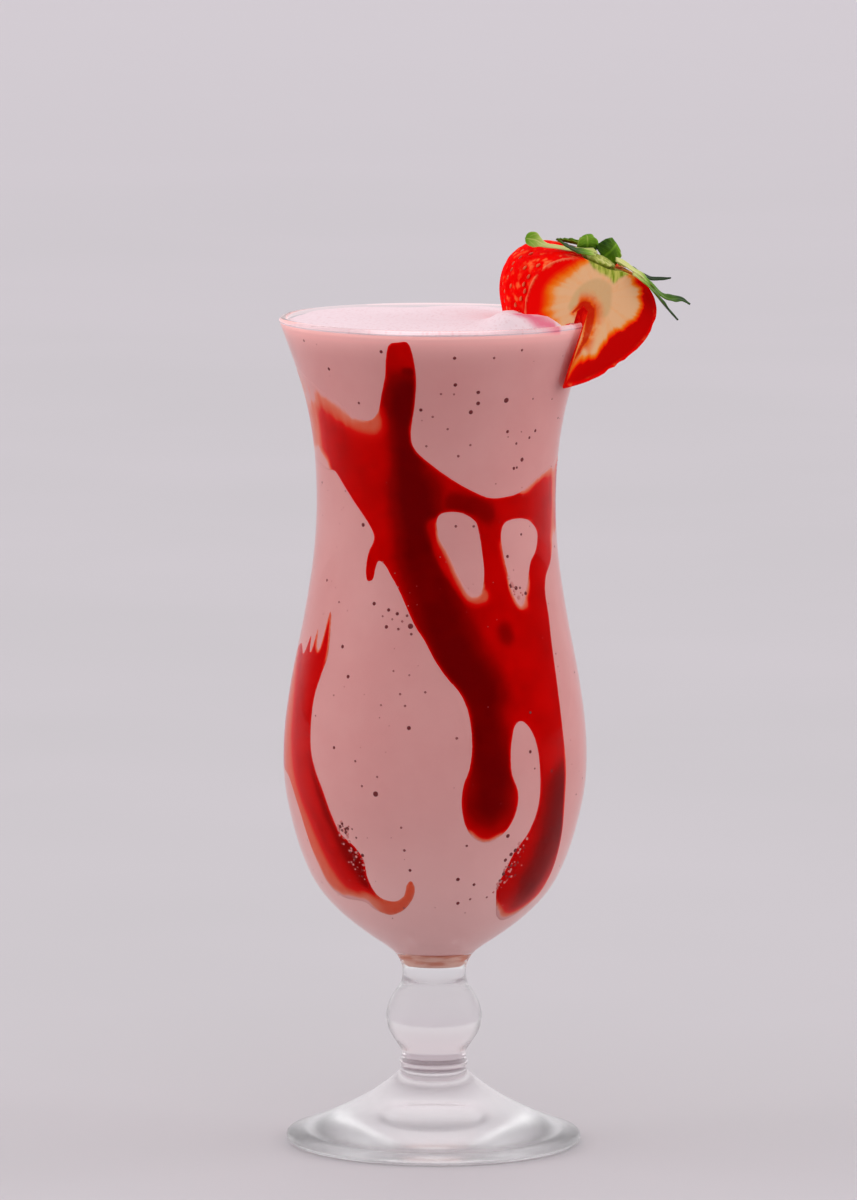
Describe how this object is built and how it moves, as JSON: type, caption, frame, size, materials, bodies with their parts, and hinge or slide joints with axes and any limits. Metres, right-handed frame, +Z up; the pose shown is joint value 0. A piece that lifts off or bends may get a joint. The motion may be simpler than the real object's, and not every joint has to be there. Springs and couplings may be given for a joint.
{
  "type": "yogurt milkshake",
  "caption": "Pink yogurt milkshake filling a stemmed hurricane glass, with strawberry sauce swirled down the wall and a cut strawberry straddling the rim.",
  "frame": {"origin": "centre of the foot's underside, on the surface the glass stands on", "axes": "+Z up the glass's axis; -Y towards the front, +X to the side that carries the strawberry"},
  "size_m": [0.1016, 0.078, 0.2292],
  "materials": {
    "glass": "clear, smooth",
    "milkshake": "smooth, soft, slightly foamy",
    "sauce": "wet",
    "sauce_pool": "wet",
    "strawberry": "shiny skin, moist cut flesh",
    "calyx": "fleshy, soft",
    "leaf": "satin, finely veined"
  },
  "bodies": {
    "root": {"glass": "glass", "milkshake": "milkshake", "sauce_pool": "sauce_pool", "sauce_swirl": "sauce", "sauce_streak": "sauce", "strawberry": "strawberry", "calyx": "calyx", "sepal_long": "leaf", "sepal_dark": "leaf", "sepal_curl_left": "leaf", "sepal_curl_right": "leaf", "sepal_thin": "leaf", "sepal_main": "leaf", "sepal_low": "leaf", "sepal_back": "leaf", "sepal_back_left": "leaf", "sepal_back_right": "leaf"}
  },
  "joints": []
}
